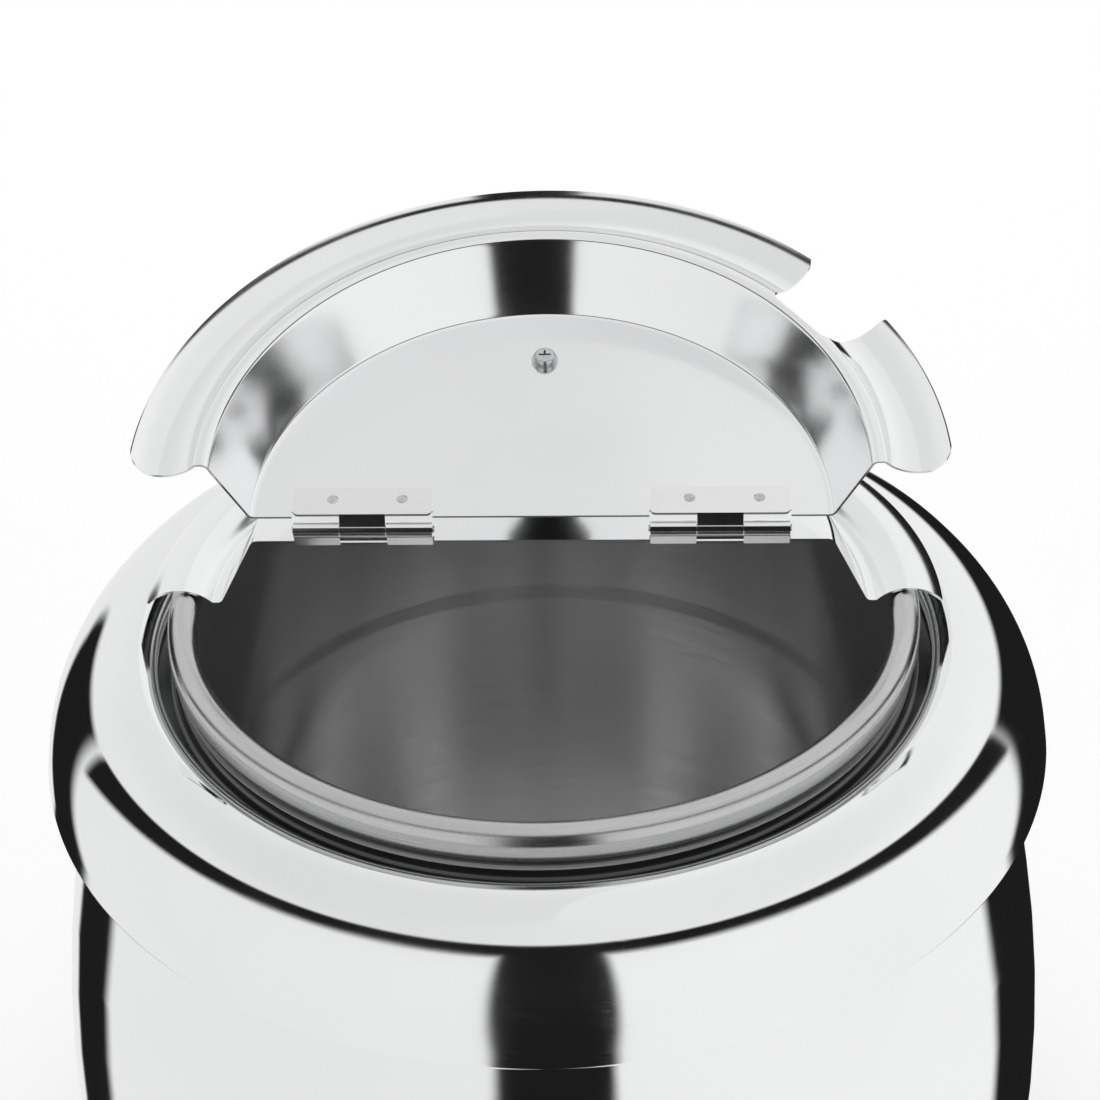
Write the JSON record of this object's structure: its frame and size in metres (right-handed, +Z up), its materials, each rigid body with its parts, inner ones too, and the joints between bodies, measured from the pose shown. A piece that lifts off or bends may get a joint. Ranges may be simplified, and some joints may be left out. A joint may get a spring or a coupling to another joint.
{
  "type": "electric soup kettle",
  "caption": "Free-standing wet-well soup kettle: round polished shell, lift-out pot with rolled rim, and a split lid whose front half folds back on hinges.",
  "frame": {"origin": "on the table under the kettle's axis, at the bottom of its rubber feet", "axes": "+Z up, -Y toward the front where the control dial is, +X to the right seen from the front"},
  "size_m": [0.3506, 0.3706, 0.3873],
  "materials": {
    "polished_steel": "mirror polished stainless",
    "satin_steel": "brushed stainless",
    "zinc_steel": "bright fasteners",
    "black_plastic": "moulded heat-resistant plastic",
    "silicone": "grey silicone",
    "rubber": "black rubber",
    "aluminium_plate": "plain sheet",
    "element_sheath": "heat tinted sheath",
    "cream_plastic": "cream moulding",
    "copper": "copper",
    "printed_scale": "black printed plate",
    "lens_orange": "clear orange",
    "brass": "turned brass",
    "wire_brown": "heat-resistant sleeve",
    "wire_blue": "heat-resistant sleeve"
  },
  "bodies": {
    "kettle": {"base_plate": "zinc_steel", "base_screws": "zinc_steel", "base_skirt": "black_plastic", "bulb_clip": "zinc_steel", "cable_gland": "black_plastic", "capillary_tube": "copper", "clamp_nut": "zinc_steel", "clamp_stud": "zinc_steel", "control_housing": "black_plastic", "cutout_screws": "zinc_steel", "earth_nut": "zinc_steel", "earth_stud": "zinc_steel", "element_clamp": "aluminium_plate", "foot_nuts": "zinc_steel", "foot_screws": "zinc_steel", "gland_nut": "black_plastic", "heating_element": "element_sheath", "neck_gasket": "silicone", "outer_body": "polished_steel", "pilot_lamp_body": "black_plastic", "pilot_lamp_lens": "lens_orange", "rubber_feet": "rubber", "scale_plate": "printed_scale", "shoulder_collar": "polished_steel", "tank_brackets": "zinc_steel", "terminal_block": "cream_plastic", "terminal_screws": "zinc_steel", "thermal_cutout": "cream_plastic", "thermostat_body": "black_plastic", "thermostat_bulb": "copper", "thermostat_screws": "zinc_steel", "tie_bolts": "zinc_steel", "tie_nuts": "zinc_steel", "water_tank": "satin_steel", "wire_element": "wire_brown", "wire_live": "wire_brown", "wire_neutral": "wire_blue", "wire_switched": "wire_brown"},
    "pot": {"soup_pot": "satin_steel"},
    "lid_rear": {"lid_rear_panel": "polished_steel", "rear_rivets": "zinc_steel", "hinge_rear_leaf_left": "satin_steel", "hinge_rear_leaf_right": "satin_steel", "hinge_pin_left": "zinc_steel", "hinge_pin_right": "zinc_steel"},
    "lid_front": {"lid_front_panel": "polished_steel", "front_rivets": "zinc_steel", "lid_knob": "black_plastic", "knob_insert": "brass", "knob_washer": "zinc_steel", "knob_screw": "zinc_steel", "hinge_front_leaf_left": "satin_steel", "hinge_front_leaf_right": "satin_steel"},
    "dial": {"control_dial": "black_plastic", "thermostat_spindle": "zinc_steel"}
  },
  "joints": [
    {"name": "pot_lift", "type": "slide", "parent": "kettle", "child": "pot", "axis": [0, 0, 1], "range_m": [0, 0.25]},
    {"name": "lid_lift", "type": "slide", "parent": "pot", "child": "lid_rear", "axis": [0, 0, 1], "range_m": [0, 0.08]},
    {"name": "lid_hinge", "type": "hinge", "parent": "lid_rear", "child": "lid_front", "pos_m": [0, 0, 0.327], "axis": [1, 0, 0], "range_deg": [0, 166.7]},
    {"name": "dial_turn", "type": "hinge", "parent": "kettle", "child": "dial", "pos_m": [0, -0.18, 0.03], "axis": [0, -1, 0], "range_deg": [-270, 0]}
  ]
}
